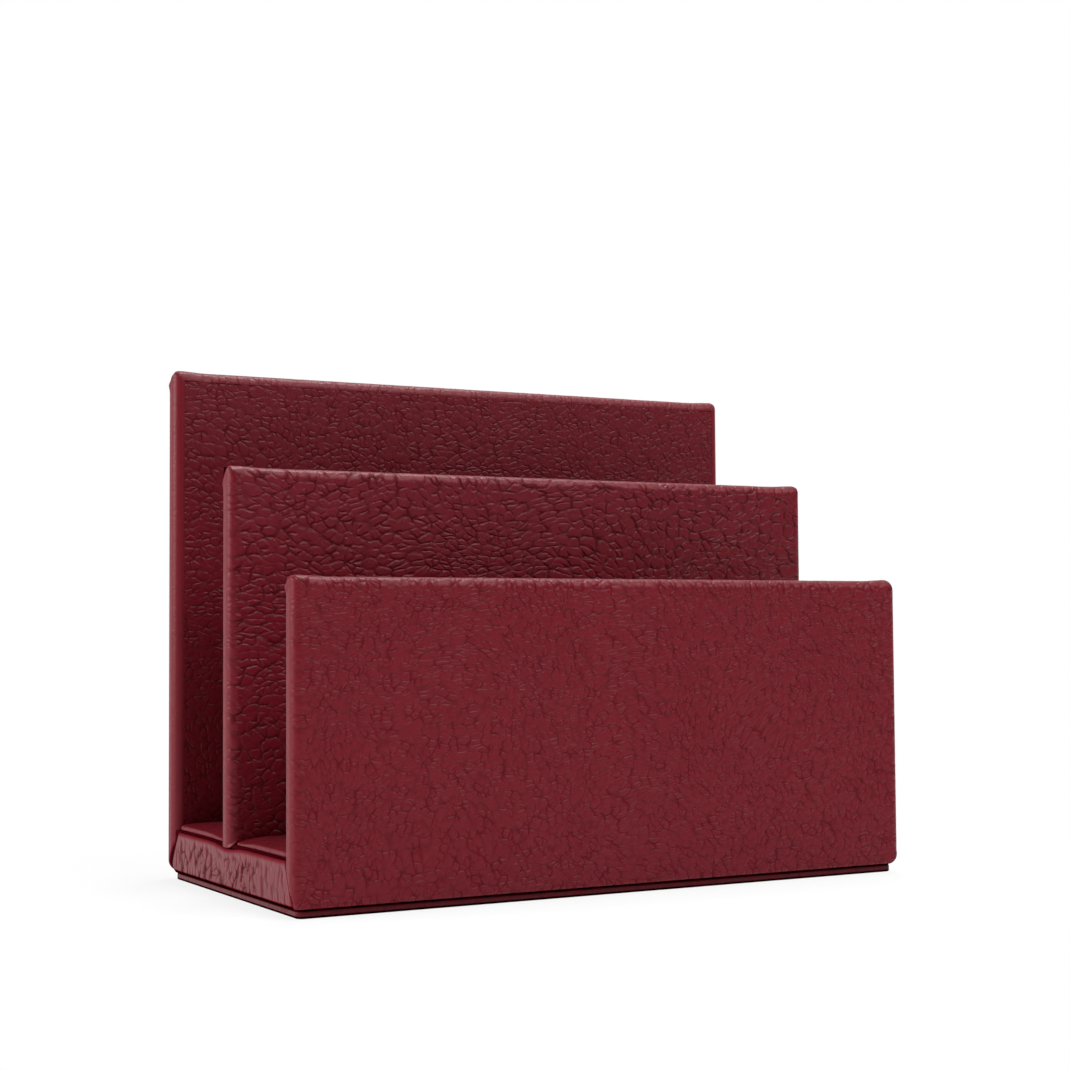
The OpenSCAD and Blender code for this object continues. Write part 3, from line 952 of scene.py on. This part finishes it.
def pale_floor():
    """A pale floor that keeps a faint shadow near the holder and is white further off."""
    work = bmesh.new()
    lifted = Matrix.Translation((0, 0, FLOOR_LIFT))
    bmesh.ops.create_grid(work, x_segments=4, y_segments=4, size=FLOOR_REACH, matrix=lifted)
    mesh = bpy.data.meshes.new("floor")
    work.to_mesh(mesh)
    work.free()
    floor = bpy.data.objects.new("floor", mesh)
    bpy.context.scene.collection.objects.link(floor)
    material, start = new_material("pale floor")
    place = start.node("ShaderNodeTexCoord", None, None, 3)
    outside = place.vector("ABSOLUTE").vector("SUBTRACT", (end_x, -cad_low.y, 0))
    away = outside.vector("MAXIMUM", (0, 0, 0)).length()
    grit = place.noise(2 * MM, 2.0)
    paper = start.node("ShaderNodeBsdfDiffuse", None, {
        "Color": grit.step(0.3, 0.7).colours((0.93, 0.93, 0.93, 1), (0.95, 0.95, 0.95, 1))})
    glow = seen_rays(start, "Is Glossy Ray").colours((1, 1, 1, 1), (0.95, 0.95, 0.95, 1))
    white = start.node("ShaderNodeEmission", None, {"Color": glow, "Strength": 1.0})
    seen = seen_rays(start, "Is Camera Ray", "Is Glossy Ray", "Is Transmission Ray")
    share = seen * away.step(0.0, 0.12, 0.82, 1.0)
    finish_material(start, start.node("ShaderNodeMixShader", None, {0: share, 1: paper, 2: white}))
    mesh.materials.append(material)


def studio_world():
    """White to the camera and behind the holder, dimmer on the camera's side."""
    world = bpy.data.worlds.new("studio")
    bpy.context.scene.world = world
    world.use_nodes = True
    world.node_tree.nodes.clear()
    start = Wire(world.node_tree)
    direction = start.node("ShaderNodeTexCoord", None, None, 0)
    behind = start.node("ShaderNodeSeparateXYZ", None, {0: direction}, 1).step(-0.35, 0.35)
    seen = seen_rays(start, "Is Camera Ray", "Is Transmission Ray")
    backdrop = seen.math("MAXIMUM", seen, seen_rays(start, "Is Glossy Ray") * behind * 0.8)
    dim = start.node("ShaderNodeBackground", None, {"Color": (1, 1, 1, 1), "Strength": 0.12})
    white = start.node("ShaderNodeBackground", None, {"Color": (1, 1, 1, 1), "Strength": 1.0})
    mixed = start.node("ShaderNodeMixShader", None, {0: backdrop, 1: dim, 2: white})
    start.node("ShaderNodeOutputWorld", None, {"Surface": mixed})


def soft_lamp(name, place, aim, size, power):
    data = bpy.data.lights.new(name, "AREA")
    data.shape = "RECTANGLE"
    data.size, data.size_y = size
    data.energy = power
    lamp = bpy.data.objects.new(name, data)
    lamp.location = place
    lamp.rotation_euler = (Vector(aim) - Vector(place)).to_track_quat("-Z", "Y").to_euler()
    bpy.context.scene.collection.objects.link(lamp)


def photo_camera():
    """The camera of the photograph: 28.8 degrees round to the left, a little below the holder's middle."""
    yaw = math.radians(-28.824)
    pitch = math.radians(2.820)
    roll = math.radians(-0.365)
    ahead = Vector((-math.sin(yaw) * math.cos(pitch), math.cos(yaw) * math.cos(pitch), math.sin(pitch)))
    level = Vector((math.cos(yaw), math.sin(yaw), 0))
    upright = level.cross(ahead)
    right = level * math.cos(roll) + upright * math.sin(roll)
    up = upright * math.cos(roll) - level * math.sin(roll)
    data = bpy.data.cameras.new("photo camera")
    data.sensor_width = 36
    data.lens = 65.79
    data.clip_start = 0.01
    data.clip_end = 50
    camera = bpy.data.objects.new("photo camera", data)
    turn = Matrix((right, up, -ahead)).transposed().to_4x4()
    camera.matrix_world = Matrix.Translation((-0.29074, -0.52907, 0.07462)) @ turn
    bpy.context.scene.collection.objects.link(camera)
    bpy.context.scene.camera = camera


pale_floor()
studio_world()
soft_lamp("top softbox", (0.3, 0.2, 1.2), (0.3, 0.201, 0), (0.55, 0.6), 10.0)
soft_lamp("left softbox", (-1.3, 0.3, 0.5), (0, 0, 0.06), (0.9, 0.7), 15.0)
soft_lamp("front fill", (0.5, -0.95, 1.25), (0, 0, 0.05), (1.3, 1.0), 19.5)
photo_camera()
bpy.context.scene.view_settings.view_transform = "Standard"
